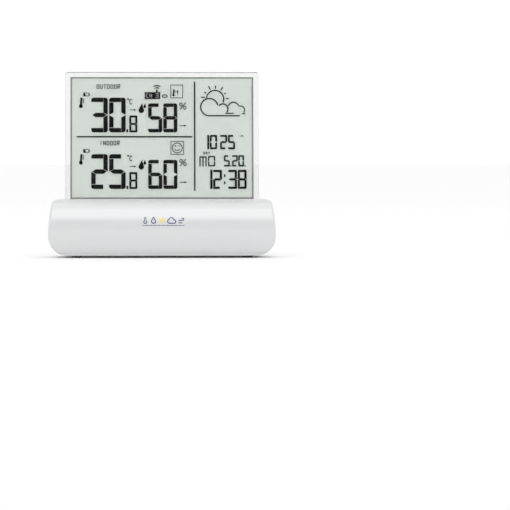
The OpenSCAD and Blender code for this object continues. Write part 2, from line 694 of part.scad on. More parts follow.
module board_screws() {
    color("#8b8f94") at_four(board_post) translate([0, 0, board_top + 1.1]) mirror([0, 0, 1])
        screw(1.8, 1.1, 0.9, 9);
}

module controller_chip() {
    c = [-26, -8.6];
    color("#22242a") {
        box([c[0] - 4.5, c[0] + 4.5], [c[1] - 4.5, c[1] + 4.5], [board_top + 0.2, board_top + 1.6]);
        for (i = [-4:4]) {
            box([c[0] + i - 0.2, c[0] + i + 0.2], [c[1] - 5.4, c[1] + 5.4], [board_top, board_top + 0.3]);
            box([c[0] - 5.4, c[0] + 5.4], [c[1] + i - 0.2, c[1] + i + 0.2], [board_top, board_top + 0.3]);
        }
    }
}

module board_components() {
    color("#c9b48a") {
        for (i = [0:5]) box([-16 + 3 * i, -14.4 + 3 * i], [-12.2, -11.4], [board_top, board_top + 0.6]);
        for (i = [0:3]) box([-16 + 3 * i, -14.4 + 3 * i], [-8.4, -7.6], [board_top, board_top + 0.6]);
        for (i = [0:4]) box([-47 + 3 * i, -46.2 + 3 * i], [-9, -7.4], [board_top, board_top + 0.6]);
        rod_z(-35.5, -9.5, 2, board_top, board_top + 3.6);
        rod_z(11, -9, 2, board_top, board_top + 3.6);
        box([-9, -5.5], [-6.4, -4.2], [board_top, board_top + 1.4]);
    }
}

module key_switch(x) {
    difference() {
        box([x - 3, x + 3], [switch_face_y - switch_depth, switch_face_y], [board_top, key_z + 1.8]);
        rod_y(x, key_z, plunger_r + 0.06, switch_face_y - 1.6, switch_face_y + 1);
    }
}

module switch_bodies() {
    color("#2b2c30") {
        for (i = [0:len(BUTTONS) - 1]) key_switch(button_x(i));
        key_switch(reset_x);
        difference() {
            box([-2.75, 2.75], [snooze_stem_y - 3, snooze_stem_y + 3], [board_top, snooze_switch_top]);
            rod_z(0, snooze_stem_y, plunger_r + 0.06, snooze_switch_top - 1.6, snooze_switch_top + 1);
        }
    }
}

module side_plunger(x) {
    color("#d8d4c4") rod_y(x, key_z, plunger_r, switch_face_y - 0.9, plunger_tip_y);
}

module snooze_plunger() {
    color("#d8d4c4") rod_z(0, snooze_stem_y, plunger_r, snooze_switch_top - 0.9, snooze_switch_top + 1.2);
}

module receiver_module() {
    color("#3c7f8f") {
        box([22, 36], [-13, -4.5], [board_top + 0.05, board_top + 0.9]);
        box([24, 29.5], [-11.5, -6], [board_top + 0.9, board_top + 2.1]);
    }
}

module antenna_coil() {
    color("#b87333") translate([33, -8.8, board_top + 0.95]) wound_wire(1.6, 1.6, 7, 7, 0.25);
}

module climate_sensor() {
    color("#f0f0ea") difference() {
        box([54, 60], [-3.5, 3.5], [board_top, board_top + 2.2]);
        for (i = [0:2]) box([55 + 1.6 * i, 55.8 + 1.6 * i], [-2.4, 2.4], [board_top + 1.2, board_top + 3]);
    }
}

module buzzer() {
    color("#26272b") difference() {
        rod_z(43.6, -6.8, 4.6, board_top, board_top + 2.4);
        rod_z(43.6, -6.8, 0.8, board_top + 1.4, board_top + 3);
    }
}

// ---------- batteries ----------

module battery_cells() {
    color("#4d7a4f") for (s = [-1, 1]) translate([s * (bay_l / 2 - contact_t - 0.1), s * cell_y, cell_z])
        rotate([0, -90 * s, 0]) {
            cylinder(r = 2.7, h = nub_l + 0.3);
            translate([0, 0, nub_l]) cylinder(r1 = cell_r - 0.5, r2 = cell_r, h = 0.5);
            translate([0, 0, nub_l + 0.5]) cylinder(r = cell_r, h = cell_l - 1);
            translate([0, 0, nub_l + cell_l - 0.5]) cylinder(r1 = cell_r, r2 = cell_r - 0.5, h = 0.5);
        }
}

module battery_springs() {
    space = bay_l - 2 * contact_t - 0.2 - nub_l - cell_l;
    color("#b9bdc2") for (s = [-1, 1]) translate([-s * (bay_l / 2 - contact_t - 0.08), s * cell_y, cell_z])
        rotate([0, 90 * s, 0]) wound_wire(4.6, 2.6, space - 0.1, 3.5, 0.35);
}

module contact_plates() {
    color("#c8ccd0") {
        for (s = [-1, 1]) {
            box(plate_x, [s * cell_y - 5.5, s * cell_y + 5.5], plate_z);
            box(plate_x, [s * cell_y - 1.5, s * cell_y + 1.5], [plate_z[1] - 0.5, board_bottom]);
        }
        box([-plate_x[1], -plate_x[0]], [-cell_y - 5.5, cell_y + 5.5], plate_z);
    }
}

// The door turns down about pins at its rounded edge
module battery_door() {
    y = door_w / 2;
    color("#e6e8ea") difference() {
        union() {
            box([hinge_x, door_l / 2], [-y, y], [foot_h, foot_h + door_t]);
            rod_y(hinge_x, hinge_z, door_t / 2, -y, y);
            rod_y(hinge_x, hinge_z, pin_r, -y - 1.3, y + 1.3);
        }
        box([door_l / 2 - latch_l - latch_travel - 0.35, door_l],
            [-latch_w / 2 - 0.3, latch_w / 2 + 0.3], [0, 5]);
        box([door_l / 2 - latch_l - latch_travel, door_l], [-latch_w / 2 - 0.9, latch_w / 2 + 0.9],
            [hinge_z - 0.3, hinge_z + 0.3]);
        for (i = [0:2]) box([door_l / 2 - 10 - 1.6 * i, door_l / 2 - 9.2 - 1.6 * i], [-5, 5],
            [0, foot_h + 0.3]);
    }
}

module door_latch() {
    color("#dfe2e4") difference() {
        union() {
            box([door_l / 2 - latch_l, door_l / 2], [-latch_w / 2, latch_w / 2], [foot_h, foot_h + door_t]);
            box([door_l / 2 - latch_l + 0.4, door_l / 2 - 0.4], [-latch_w / 2 - 0.7, latch_w / 2 + 0.7],
                [hinge_z - 0.2, hinge_z + 0.2]);
        }
        for (i = [0:2]) box([door_l / 2 - 1.8 - 1.4 * i, door_l / 2 - 1.1 - 1.4 * i],
            [0.8 - latch_w / 2, latch_w / 2 - 0.8], [0, foot_h + 0.35]);
    }
}

// ---------- controls ----------

// Mark sunk into a rear button: a ring, a bell's dome, bars or an arrowhead
module button_mark(kind) {
    if (kind == "set") difference() {
        cylinder(r = 1.3, h = 1);
        cylinder(r = 0.8, h = 1);
    }
    if (kind == "alarm") {
        cylinder(r = 1.1, h = 1);
        translate([-1.4, -1.1, 0]) cube([2.8, 0.6, 1]);
    }
    if (kind == "channel") for (k = [-1, 0, 1]) translate([1.1 * k - 0.3, -1.1, 0])
        cube([0.6, 1.4 + 0.6 * k, 1]);
    if (kind == "up") rotate(90) cylinder(r = 1.4, h = 1, $fn = 3);
    if (kind == "down") rotate(-90) cylinder(r = 1.4, h = 1, $fn = 3);
    if (kind == "memory") for (k = [-1, 0, 1]) translate([-1.4, k - 0.25, 0]) cube([2.8, 0.5, 1]);
}

module rear_button(i) {
    x = button_x(i);
    color("#d3d6d9") difference() {
        union() {
            pill_y(x, key_z, button_w, button_h, pad_y - 0.8, key_face_y);
            pill_y(x, key_z, button_w + 1.6, button_h + 1.2, pad_y - 1.3, pad_y - 0.05);
            rod_y(x, key_z, 1.4, plunger_tip_y + 0.05, pad_y - 1);
        }
        translate([x, key_face_y + 0.7, key_z]) rotate([90, 0, 0]) mirror([1, 0, 0]) button_mark(BUTTONS[i]);
    }
}

module snooze_light_key() {
    color("#dadde0") {
        intersection() {
            difference() {
                base_solid(-0.4);
                base_solid(wall - 0.2);
            }
            snooze_prism(0, belly_z + 5, top_z + 1);
        }
        intersection() {
            difference() {
                base_solid(wall - 0.5);
                base_solid(wall + 1.3);
            }
            snooze_prism(0, belly_z + 5, top_z + 1);
        }
        intersection() {
            difference() {
                base_solid(wall + 0.3);
                base_solid(wall + 1.2);
            }
            snooze_prism(0.5, belly_z + 5, top_z + 1);
        }
        rod_z(0, snooze_stem_y, 1.8, snooze_switch_top + 1.25, top_z - 5);
    }
}

module slide_switch_body() {
    color("#2b2c30") difference() {
        box([slide_x - 5, slide_x + 5], [switch_face_y - 4.5, switch_face_y + 0.5], [board_top, key_z + 2.6]);
        box([slide_rest_x - 1.9, slide_rest_x + slide_travel + 1.9], [switch_face_y - 2.5, switch_face_y + 2],
            [key_z - 1.3, key_z + 1.3]);
    }
}

module slide_switch_knob() {
    x = slide_rest_x;
    color("#2b2c30") difference() {
        union() {
            box([x - 1.5, x + 1.5], [switch_face_y - 2.2, pocket_floor_y + 0.5], [key_z - 1, key_z + 1]);
            box([x - 2.2, x + 2.2], [pocket_floor_y + 0.3, key_face_y + 0.2], [key_z - 2, key_z + 2]);
        }
        for (k = [-1, 0, 1]) box([x + k * 1.2 - 0.25, x + k * 1.2 + 0.25], [key_face_y - 0.2, base_d],
            [key_z - 3, key_z + 3]);
    }
}

// ---------- one line per node ----------

upper_housing();
lower_housing();
housing_screws();
rubber_feet();
front_window();
rear_window();
lcd_front_polariser();
lcd_front_glass();
lcd_segments();
lcd_edge_seal();
lcd_rear_glass();
lcd_rear_polariser();
lcd_reflector();
panel_cradle();
cradle_screws();
backlight_strip();
backlight_leds();
flex_ribbon();
ribbon_connector();
main_board();
board_screws();
controller_chip();
board_components();
switch_bodies();
receiver_module();
antenna_coil();
climate_sensor();
buzzer();
battery_cells();
battery_springs();
contact_plates();
battery_door();
door_latch();
snooze_light_key();
snooze_plunger();
side_plunger(reset_x);  // reset_plunger
slide_switch_body();
slide_switch_knob();
rear_button(0);  // set_button
side_plunger(button_x(0));  // set_plunger
rear_button(1);  // alarm_button
side_plunger(button_x(1));  // alarm_plunger
rear_button(2);  // channel_button
side_plunger(button_x(2));  // channel_plunger
rear_button(3);  // up_button
side_plunger(button_x(3));  // up_plunger
rear_button(4);  // down_button
side_plunger(button_x(4));  // down_plunger
rear_button(5);  // memory_button
side_plunger(button_x(5));  // memory_plunger
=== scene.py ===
"""Looks for the table-top weather station. Metres, in the CAD frame: +Z up, the display faces -Y."""
import math

import bmesh
import bpy
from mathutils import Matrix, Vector
from mathutils.bvhtree import BVHTree
from mathutils.interpolate import poly_3d_calc


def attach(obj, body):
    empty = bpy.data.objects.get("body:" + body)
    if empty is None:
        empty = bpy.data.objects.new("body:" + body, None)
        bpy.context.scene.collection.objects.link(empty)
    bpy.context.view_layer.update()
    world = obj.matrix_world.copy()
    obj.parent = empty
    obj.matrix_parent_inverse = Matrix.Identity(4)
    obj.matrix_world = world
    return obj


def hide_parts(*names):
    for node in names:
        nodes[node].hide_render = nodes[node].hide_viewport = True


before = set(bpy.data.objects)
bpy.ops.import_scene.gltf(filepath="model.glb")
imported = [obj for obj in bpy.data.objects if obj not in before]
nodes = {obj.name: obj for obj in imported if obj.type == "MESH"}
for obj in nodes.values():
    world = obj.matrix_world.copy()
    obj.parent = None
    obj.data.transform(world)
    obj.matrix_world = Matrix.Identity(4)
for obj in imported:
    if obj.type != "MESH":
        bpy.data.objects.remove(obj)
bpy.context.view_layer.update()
scene = bpy.context.scene
MM = 0.001

# Sizes of the base in millimetres, as in the CAD source
HALF_W = 77.5
HALF_D = 23.0
FOOT_H = 1.3
BODY_H = 38.4
TOP_Z = FOOT_H + BODY_H
SHOULDER_R = 20.0  # the round front and back of the upper half
BELLY_Z = TOP_Z - SHOULDER_R  # where the base is deepest
BELLY_TUCK = 5.0  # how far the side draws in below that, down to the bottom
LOWER_R = ((BELLY_Z - FOOT_H) ** 2 + BELLY_TUCK ** 2) / (2 * BELLY_TUCK)
CORNER_R = 13.5  # the lower corners, seen from the front
CORNER_Z = FOOT_H + CORNER_R
BULGE_R = 98.0  # the faintly bulged ends above them
CREST_R = 4.0  # the upper corners
CROWN_HALF = HALF_D - SHOULDER_R  # half depth of the flat strip on top
LEAN = math.radians(6)

# How finely meshes are joined and compared, in metres
SAME_PLACE = 2e-7
WELD_REACH = 1e-6
ON_SKIN = 4e-5


# ---------- materials ----------

class Mat:
    """A Principled material with helpers that add noise-driven colour, roughness and bump.

    Scales are per metre, so 1000 is a pattern of about a millimetre; a bump's depth is in metres.
    """

    def __init__(self, name, color, rough, metallic=0.0, **sockets):
        self.material = bpy.data.materials.new(name)
        self.material.use_nodes = True
        self.tree = self.material.node_tree
        self.shader = self.tree.nodes["Principled BSDF"]
        self.set("Base Color", (*color, 1))
        self.set("Roughness", rough)
        self.set("Metallic", metallic)
        for socket, value in sockets.items():
            self.set(socket.replace("_", " "), value)
        self.color = color
        self.rough = rough

    def set(self, socket, value):
        self.shader.inputs[socket].default_value = value

    def node(self, kind, **props):
        made = self.tree.nodes.new(kind)
        for prop, value in props.items():
            setattr(made, prop, value)
        return made

    def link(self, a, b):
        self.tree.links.new(a, b)

    def coords(self, stretch=(1, 1, 1)):
        place = self.node("ShaderNodeTexCoord")
        mapping = self.node("ShaderNodeMapping")
        mapping.inputs["Scale"].default_value = stretch
        self.link(place.outputs["Object"], mapping.inputs["Vector"])
        return mapping.outputs["Vector"]

    def noise(self, scale, detail=3, stretch=(1, 1, 1)):
        texture = self.node("ShaderNodeTexNoise")
        texture.inputs["Scale"].default_value = scale
        texture.inputs["Detail"].default_value = detail
        self.link(self.coords(stretch), texture.inputs["Vector"])
        return texture.outputs["Fac"]

    def ramp(self, fac, stops):
        """A colour that follows fac between stops, each a position and a colour."""
        ramp = self.node("ShaderNodeValToRGB")
        for element, (position, color) in zip(ramp.color_ramp.elements, stops):
            element.position = position
            element.color = (*color, 1)
        self.link(fac, ramp.inputs["Fac"])
        return ramp.outputs["Color"]

    def vary_color(self, scale, amount, stretch=(1, 1, 1)):
        dark = tuple(c * (1 - amount) for c in self.color)
        light = tuple(min(1, c * (1 + amount)) for c in self.color)
        colors = self.ramp(self.noise(scale, 4, stretch), [(0.3, dark), (0.7, light)])
        self.link(colors, self.shader.inputs["Base Color"])
        return self

    def vary_rough(self, scale, spread):
        span = self.node("ShaderNodeMapRange")
        span.inputs["To Min"].default_value = max(0.01, self.rough - spread)
        span.inputs["To Max"].default_value = self.rough + spread
        self.link(self.noise(scale), span.inputs["Value"])
        self.link(span.outputs["Result"], self.shader.inputs["Roughness"])
        return self

    def bump(self, scale, depth, strength=0.3, stretch=(1, 1, 1)):
        relief = self.node("ShaderNodeBump")
        relief.inputs["Strength"].default_value = strength
        relief.inputs["Distance"].default_value = depth
        self.link(self.noise(scale, 3, stretch), relief.inputs["Height"])
        self.link(relief.outputs["Normal"], self.shader.inputs["Normal"])
        return self


def clear(name, color, ior):
    return Mat(name, color, 0.0, Transmission_Weight=1.0, IOR=ior)


gloss_white = Mat("gloss_white", (0.63, 0.635, 0.64), 0.17, IOR=1.5).vary_color(9, 0.006) \
    .vary_rough(60, 0.02).bump(220, 0.00002, 0.08)
satin_white = Mat("satin_white", (0.66, 0.665, 0.67), 0.3, IOR=1.48).vary_color(30, 0.012) \
    .vary_rough(90, 0.05).bump(2600, 0.00003, 0.35)
grey_key = Mat("grey_key", (0.52, 0.535, 0.55), 0.42, IOR=1.47).vary_color(40, 0.02) \
    .vary_rough(120, 0.05).bump(3000, 0.00003, 0.35)
rubber = Mat("dark_rubber", (0.035, 0.035, 0.037), 0.72).vary_color(260, 0.2).bump(1900, 0.00006, 0.6)
steel = Mat("plated_steel", (0.58, 0.585, 0.6), 0.28, 1.0).vary_color(150, 0.06).vary_rough(400, 0.08) \
    .bump(900, 0.00002, 0.25)
acrylic = clear("clear_acrylic", (0.995, 1.0, 0.998), 1.49)
frosted = Mat("sawn_edge", (0.92, 0.945, 0.935), 0.42, IOR=1.49).vary_color(420, 0.03, (0.2, 1, 1)) \
    .bump(2400, 0.00003, 0.3, (0.1, 1, 1))
cell_glass = clear("cell_laminate", (0.985, 0.995, 0.985), 1.5)
reflector = Mat("reflector_film", (0.89, 0.935, 0.89), 0.55, IOR=1.4).vary_color(900, 0.012) \
    .bump(2600, 0.00002, 0.2)
ink = Mat("segment_ink", (0.006, 0.009, 0.007), 0.45, IOR=1.3).vary_color(500, 0.3)
seal = Mat("edge_seal", (0.37, 0.385, 0.37), 0.5, IOR=1.3).vary_color(600, 0.06)
board = Mat("circuit_board", (0.012, 0.12, 0.045), 0.3).vary_color(350, 0.22).bump(500, 0.00003, 0.25)
blue_board = Mat("module_board", (0.01, 0.06, 0.16), 0.3).vary_color(350, 0.2).bump(500, 0.00003, 0.25)
resin = Mat("black_resin", (0.014, 0.014, 0.017), 0.45).vary_color(300, 0.25).bump(2400, 0.00004, 0.4)
nylon = Mat("natural_nylon", (0.62, 0.57, 0.42), 0.42).vary_color(200, 0.05).bump(1500, 0.00003, 0.2)
ceramic = Mat("ceramic", (0.36, 0.25, 0.12), 0.4).vary_color(400, 0.15).bump(1200, 0.00002, 0.2)
lamp = Mat("lamp_resin", (0.78, 0.72, 0.36), 0.15).vary_color(500, 0.08).bump(900, 0.00001, 0.1)
ribbon = Mat("ribbon_film", (0.34, 0.12, 0.02), 0.25).bump(260, 0.00002, 0.3, (40, 1, 1))
copper = Mat("copper_wire", (0.72, 0.34, 0.16), 0.22, 1.0).vary_rough(500, 0.06).vary_color(300, 0.06)


def sleeve_material():
    """A printed sleeve round each cell, with bare metal ends."""
    look = Mat("cell_sleeve", (0.03, 0.16, 0.07), 0.28).vary_rough(200, 0.05)
    geometry = look.node("ShaderNodeNewGeometry")
    parts = look.node("ShaderNodeSeparateXYZ")
    look.link(geometry.outputs["Normal"], parts.inputs["Vector"])
    lengthwise = look.node("ShaderNodeMath", operation="ABSOLUTE")
    look.link(parts.outputs["X"], lengthwise.inputs[0])
    at_end = look.node("ShaderNodeMath", operation="GREATER_THAN")
    at_end.inputs[1].default_value = 0.3
    look.link(lengthwise.outputs[0], at_end.inputs[0])
    mix = look.node("ShaderNodeMix", data_type="RGBA")
    look.link(at_end.outputs[0], mix.inputs["Factor"])
    greens = [(0.35, (0.02, 0.13, 0.05)), (0.65, (0.045, 0.2, 0.09))]
    look.link(look.ramp(look.noise(60, 2, (1, 0.2, 0.2)), greens), mix.inputs["A"])
    mix.inputs["B"].default_value = (0.6, 0.6, 0.58, 1)
    look.link(mix.outputs["Result"], look.shader.inputs["Base Color"])
    look.link(at_end.outputs[0], look.shader.inputs["Metallic"])
    return look


# The looks of the CAD nodes that stay as they are
LOOKS = {
    satin_white: ["panel_cradle", "climate_sensor", "battery_door", "door_latch"],
    steel: ["housing_screws", "cradle_screws", "board_screws", "battery_springs", "contact_plates"],
    rubber: ["rubber_feet"],
    reflector: ["lcd_reflector"],
    ink: ["lcd_segments"],
    seal: ["lcd_edge_seal"],
    board: ["main_board", "backlight_strip"],
    blue_board: ["receiver_module"],
    resin: ["controller_chip", "switch_bodies", "buzzer", "slide_switch_body", "slide_switch_knob"],
    nylon: ["ribbon_connector"] + [n for n in nodes if n.endswith("_plunger")],
    ceramic: ["board_components"],
    lamp: ["backlight_leds"],
    ribbon: ["flex_ribbon"],
    copper: ["antenna_coil"],
    sleeve_material(): ["battery_cells"],
    grey_key: [n for n in nodes if n.endswith("_button")],
}
for look, names in LOOKS.items():
    for n in names:
        nodes[n].data.materials.clear()
        nodes[n].data.materials.append(look.material)


# ---------- making objects ----------

def new_object(name, me, *looks):
    """An object in the scene, with one material slot for each look."""
    me.materials.clear()
    for look in looks:
        me.materials.append(look.material)
    o = bpy.data.objects.new(name, me)
    scene.collection.objects.link(o)
    return o


def finished_mesh(bm, name):
    bmesh.ops.recalc_face_normals(bm, faces=bm.faces)
    me = bpy.data.meshes.new(name)
    bm.to_mesh(me)
    bm.free()
    return me


def welded_copy(node, name):
    """The node's mesh with its split vertices joined again."""
    me = nodes[node].data.copy()
    me.name = name
    bm = bmesh.new()
    bm.from_mesh(me)
    bmesh.ops.remove_doubles(bm, verts=bm.verts, dist=SAME_PLACE)
    bm.to_mesh(me)
    bm.free()
    return me


def band(bm, ring_a, ring_b):
    """A closed band of faces between two rings of as many vertices."""
    n = len(ring_a)
    for i in range(n):
        bm.faces.new((ring_a[i], ring_a[(i + 1) % n], ring_b[(i + 1) % n], ring_b[i]))


def weld(o):
    o.modifiers.new("weld", "WELD").merge_threshold = WELD_REACH


def bevel_edges(o, width, segments=3):
    weld(o)
    edge = o.modifiers.new("edge", "BEVEL")
    edge.width = width
    edge.segments = segments
    edge.limit_method = "ANGLE"
    edge.angle_limit = math.radians(40)
    even = o.modifiers.new("even", "WEIGHTED_NORMAL")
    even.weight = 100
    even.keep_sharp = False


# ---------- the smooth shape of the base ----------

def arc(cx, cz, r, a0, a1, steps):
    """Points from angle a0 to a1 in degrees."""
    return [(cx + r * math.cos(math.radians(a0 + (a1 - a0) * i / steps)),
             cz + r * math.sin(math.radians(a0 + (a1 - a0) * i / steps))) for i in range(steps + 1)]


def profile(inset):
    """Closed side profile in Y and Z, starting at the middle of the flat bottom, with rounded lower edges."""
    roll_turn = 1.7  # degrees of the belly's arc that the roll of the lower edge takes
    roll_flat = 1.2  # and millimetres of the flat bottom
    roll_reach = 0.08
    bottom_z = FOOT_H + inset
    top_z = TOP_Z - inset
    low = -math.degrees(math.asin((BELLY_Z - bottom_z) / (LOWER_R - inset)))
    belly = arc(HALF_D - LOWER_R, BELLY_Z, LOWER_R - inset, low + roll_turn, 0, 24)
    shoulder = arc(CROWN_HALF, BELLY_Z, SHOULDER_R - inset, 3, 90, 40)
    edge = HALF_D - LOWER_R + (LOWER_R - inset) * math.cos(math.radians(low))
    start, pull, end = (edge - roll_flat, bottom_z), (edge - roll_reach, bottom_z), belly[0]
    roll = [tuple((1 - t) ** 2 * a + 2 * t * (1 - t) * b + t * t * c for a, b, c in zip(start, pull, end))
            for t in [i / 8 for i in range(8)]]
    bottom = [(start[0] * i / 12, bottom_z) for i in range(1, 12)]
    crown = [(CROWN_HALF - 1, top_z), (CROWN_HALF - 2, top_z)]
    half = bottom + roll + belly + shoulder + crown
    return [(0.0, bottom_z)] + half + [(0.0, top_z)] + [(-y, z) for y, z in reversed(half)]


def end_x(z, inset):
    """Half width of the front outline at height z."""
    turn = math.asin((TOP_Z - CREST_R - CORNER_Z) / (BULGE_R - CREST_R))
    crest_z = CORNER_Z + (BULGE_R - CREST_R) * math.sin(turn)
    crest_x = HALF_W - BULGE_R + (BULGE_R - CREST_R) * math.cos(turn)
    if z < CORNER_Z:
        r = CORNER_R - inset
        return HALF_W - CORNER_R + math.sqrt(max(0, r * r - (CORNER_Z - z) ** 2))
    if z < CORNER_Z + (BULGE_R - inset) * math.sin(turn):
        r = BULGE_R - inset
        return HALF_W - BULGE_R + math.sqrt(r * r - (z - CORNER_Z) ** 2)
    r = CREST_R - inset
    return crest_x + math.sqrt(max(0, r * r - (z - crest_z) ** 2))


def base_mesh(name, inset, fillet=2.0, dome=0.9):
    """The base as one closed smooth skin: the profile swept along X, filleted into gently domed ends."""
    ring = profile(inset)
    body_steps, fillet_steps, cap_steps = 30, 8, 14

    def at(y, z, shrink, side):
        k = 1 - shrink / SHOULDER_R
        y, z = y * k, BELLY_Z + (z - BELLY_Z) * k
        x = end_x(z, inset) - dome * (y / HALF_D) ** 2
        if shrink < fillet:
            x -= fillet - math.sqrt(fillet ** 2 - (fillet - shrink) ** 2)
        return (side * x, y, z)

    caps = [fillet + (SHOULDER_R - fillet) * (i / cap_steps) for i in range(cap_steps)][::-1]
    rolls = [fillet * (1 - math.cos(math.pi / 2 * i / fillet_steps)) for i in range(fillet_steps)][::-1]
    rows = [[at(y, z, s, -1) for y, z in ring] for s in caps + rolls]
    for i in range(1, body_steps):
        w = -1 + 2 * i / body_steps
        rows.append([(w * at(y, z, 0, 1)[0], y, z) for y, z in ring])
    rows += [[at(y, z, s, 1) for y, z in ring] for s in rolls[::-1] + caps[::-1]]
    bm = bmesh.new()
    verts = [[bm.verts.new([c * MM for c in p]) for p in row] for row in rows]
    tips = [bm.verts.new((side * end_x(BELLY_Z, inset) * MM, 0, BELLY_Z * MM)) for side in (-1, 1)]
    for a, b in zip(verts, verts[1:]):
        band(bm, a, b)
    for tip, row in zip(tips, (verts[0], verts[-1])):
        for i, v in enumerate(row):
            bm.faces.new((tip, v, row[(i + 1) % len(row)]))
    me = finished_mesh(bm, name)
    me.polygons.foreach_set("use_smooth", [True] * len(me.polygons))
    return me


def smooth_part(node, name, inset, look, body="base"):
    """The CAD node cut to the smooth skin, so that it keeps every opening and loses its facets."""
    skin = new_object("skin", base_mesh("skin", inset))
    o = new_object(name, welded_copy(node, name))
    cut = o.modifiers.new("cut", "BOOLEAN")
    cut.operation = "INTERSECT"
    cut.solver = "EXACT"
    cut.object = skin
    bpy.context.view_layer.update()
    me = bpy.data.meshes.new_from_object(o.evaluated_get(bpy.context.evaluated_depsgraph_get()))
    me.name = name
    me.materials.clear()
    me.materials.append(look.material)
    o.modifiers.clear()
    o.data = me
    give_normals(me, skin.data)
    bpy.data.objects.remove(skin)
    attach(o, body)
    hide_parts(node)


def give_normals(me, skin):
    """Faces on the skin take its smooth normals; other faces are smooth only across shallow angles."""
    me.polygons.foreach_set("use_smooth", [True] * len(me.polygons))
    me.set_sharp_from_angle(angle=math.radians(28))
    me.update()
    corners = [Vector(c.vector) for c in me.corner_normals]
    tree = BVHTree.FromPolygons([v.co for v in skin.vertices], [p.vertices for p in skin.polygons])

    def skin_normal(point):
        where, _, face, distance = tree.find_nearest(point)
        ids = skin.polygons[face].vertices
        weights = poly_3d_calc([skin.vertices[k].co for k in ids], where)
        normal = Vector((0, 0, 0))
        for k, weight in zip(ids, weights):
            normal += skin.vertices[k].normal * weight
        return normal.normalized(), distance

    for p in me.polygons:
        normal, distance = skin_normal(p.center)
        if distance > ON_SKIN or normal.dot(p.normal) < 0.97:
            continue
        for corner in p.loop_indices:
            normal, distance = skin_normal(me.vertices[me.loops[corner].vertex_index].co)
            corners[corner] = normal if distance < ON_SKIN else p.normal.copy()
    me.normals_split_custom_set(corners)


SHAVE = 0.03  # millimetres that the smooth skin lies inside the CAD's facets
KEY_RISE = 0.37  # and that the snooze key stands above it
smooth_part("upper_housing", "upper_shell", SHAVE, gloss_white)
smooth_part("lower_housing", "lower_shell", SHAVE, satin_white)
smooth_part("snooze_light_key", "snooze_bar", -KEY_RISE, grey_key, "snooze_key")


# ---------- the display ----------

def on_panel(x, d, v):
    """A point of the leaning panel, in metres, from millimetres across, in depth and in height."""
    y = d * math.cos(LEAN) + v * math.sin(LEAN)
    z = TOP_Z + v * math.cos(LEAN) - d * math.sin(LEAN)
    return Vector((x, y, z)) * MM


def laminate():
    """Films and glasses of the cell, bonded into one clear block round the segments."""
    half, foot, head = 62.3, -7.4, 83.6
    front, back = 1.56, 3.66
    step = 0.18  # the faces are this much wider than the middle, and shorter at the foot and head
    bm = bmesh.new()
    rings = []
    for d, trim in ((front, step), (front + step, 0), (back - step, 0), (back, step)):
        low, high, x = foot + trim, head - trim, half + trim
        corners = [(-x, low), (x, low), (x, high), (-x, high)]
        rings.append([bm.verts.new(on_panel(x, d, v)) for x, v in corners])
    for a, b in zip(rings, rings[1:]):
        band(bm, a, b)
    bm.faces.new(rings[0])
    bm.faces.new(rings[-1])
    o = new_object("lcd_laminate", finished_mesh(bm, "lcd_laminate"), cell_glass)
    o.visible_shadow = False
    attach(o, "base")
    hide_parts("lcd_front_polariser", "lcd_front_glass", "lcd_rear_glass", "lcd_rear_polariser")


def clear_window(node):
    """A window with clear polished faces and frosted sawn edges round its outside."""
    o = new_object(node + "_sheet", welded_copy(node, node + "_sheet"), acrylic, frosted)
    me = o.data
    foot = on_panel(0, 0, 0)
    depth = (on_panel(0, 1, 0) - foot).normalized()
    up = (on_panel(0, 0, 1) - foot).normalized()
    rim = 2 * MM
    top = max((v.co - foot).dot(up) for v in me.vertices)
    side = max(v.co.x for v in me.vertices)
    for p in me.polygons:
        edge_on = abs(p.normal.dot(depth)) < 0.5
        outer = abs(p.center.x) > side - rim or (p.center - foot).dot(up) > top - rim
        p.material_index = 1 if edge_on and outer else 0
    bevel_edges(o, 0.15 * MM)
    o.visible_shadow = False
    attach(o, "base")
    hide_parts(node)


def spread_ink(o, by):
    """Lets the thin lines of the display spread a little, as printed ones do."""
    weld(o)
    spread = o.modifiers.new("spread", "DISPLACE")
    spread.strength = by
    spread.mid_level = 0


clear_window("front_window")
clear_window("rear_window")
laminate()
for n in ("lcd_segments", "lcd_edge_seal"):
    nodes[n].visible_shadow = False
spread_ink(nodes["lcd_segments"], 0.07 * MM)
for n in nodes:
    if n.endswith("_button"):
        bevel_edges(nodes[n], 0.25 * MM)
bevel_edges(nodes["battery_door"], 0.15 * MM, 2)


# ---------- the printed mark on the front of the base ----------

def front_point(x, z, lift):
    """A point lift millimetres in front of the base's skin, in metres."""
    return Vector((x, -(CROWN_HALF + math.sqrt(SHOULDER_R ** 2 - (z - BELLY_Z) ** 2)) - lift, z)) * MM


def finely(path, step=0.35):
    """The path with more points, so that a stroke can follow the round front."""
    out = [path[0]]
    for a, b in zip(path, path[1:]):
        n = max(1, math.ceil(math.dist(a, b) / step))
        out += [(a[0] + (b[0] - a[0]) * i / n, a[1] + (b[1] - a[1]) * i / n) for i in range(1, n + 1)]
    return out


def ink_stroke(bm, path, width, lift):
    """A printed line of the given width that follows the curve of the base."""
    path = finely(path)
    closed = math.dist(path[0], path[-1]) < 1e-6
    if closed:
        path = path[:-1]
    n = len(path)
    root = -0.05  # the stroke's back, under the skin
    rings = []
    for i, (x, z) in enumerate(path):
        before = path[(i - 1) % n] if closed or i else path[0]
        after = path[(i + 1) % n] if closed or i < n - 1 else path[-1]
        half = width / 2 / math.dist(before, after)
        across = (-(after[1] - before[1]) * half, (after[0] - before[0]) * half)
        rings.append([bm.verts.new(front_point(x + k * across[0], z + k * across[1], depth))
                      for k, depth in ((1, lift), (-1, lift), (-1, root), (1, root))])
    for a, b in zip(rings, rings[1:] + rings[:1] if closed else rings[1:]):
        band(bm, a, b)
    if not closed:
        bm.faces.new(rings[0])
        bm.faces.new(rings[-1][::-1])


# Each pictogram is a list of strokes, a path in X and Z with its width, in millimetres, about its own middle.

BOLD, MEDIUM = 0.62, 0.42


